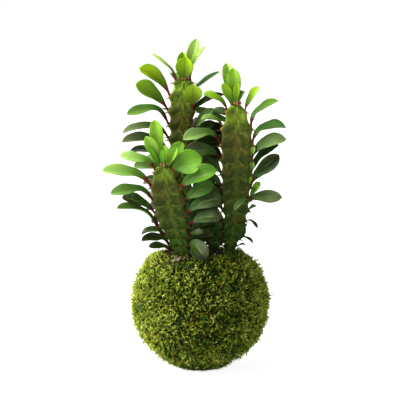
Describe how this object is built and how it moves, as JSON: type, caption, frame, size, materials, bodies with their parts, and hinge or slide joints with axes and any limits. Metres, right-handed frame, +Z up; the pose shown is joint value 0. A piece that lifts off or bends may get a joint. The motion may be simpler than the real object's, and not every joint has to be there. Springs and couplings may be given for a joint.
{
  "type": "kokedama moss ball plant",
  "caption": "Ball of soil wrapped in living moss, with upright three-ribbed succulent stems and leaves growing from its crown.",
  "frame": {"origin": "centre of the small flat spot that the moss ball rests on", "axes": "+Z up along the stems, +X to the viewer's right, -Y towards the viewer"},
  "size_m": [0.1779, 0.1393, 0.3305],
  "materials": {
    "moss": "living moss shoots, matt",
    "soil": "damp clay and peat with pale grit",
    "thread": "twisted cotton thread",
    "plant": "waxy green skin and leaves"
  },
  "bodies": {
    "root": {"moss_cover": "moss", "soil_ball": "soil", "binding_thread": "thread", "leafy_stem_front": "plant", "leafy_stem_right": "plant", "leafy_stem_rear": "plant"}
  },
  "joints": []
}
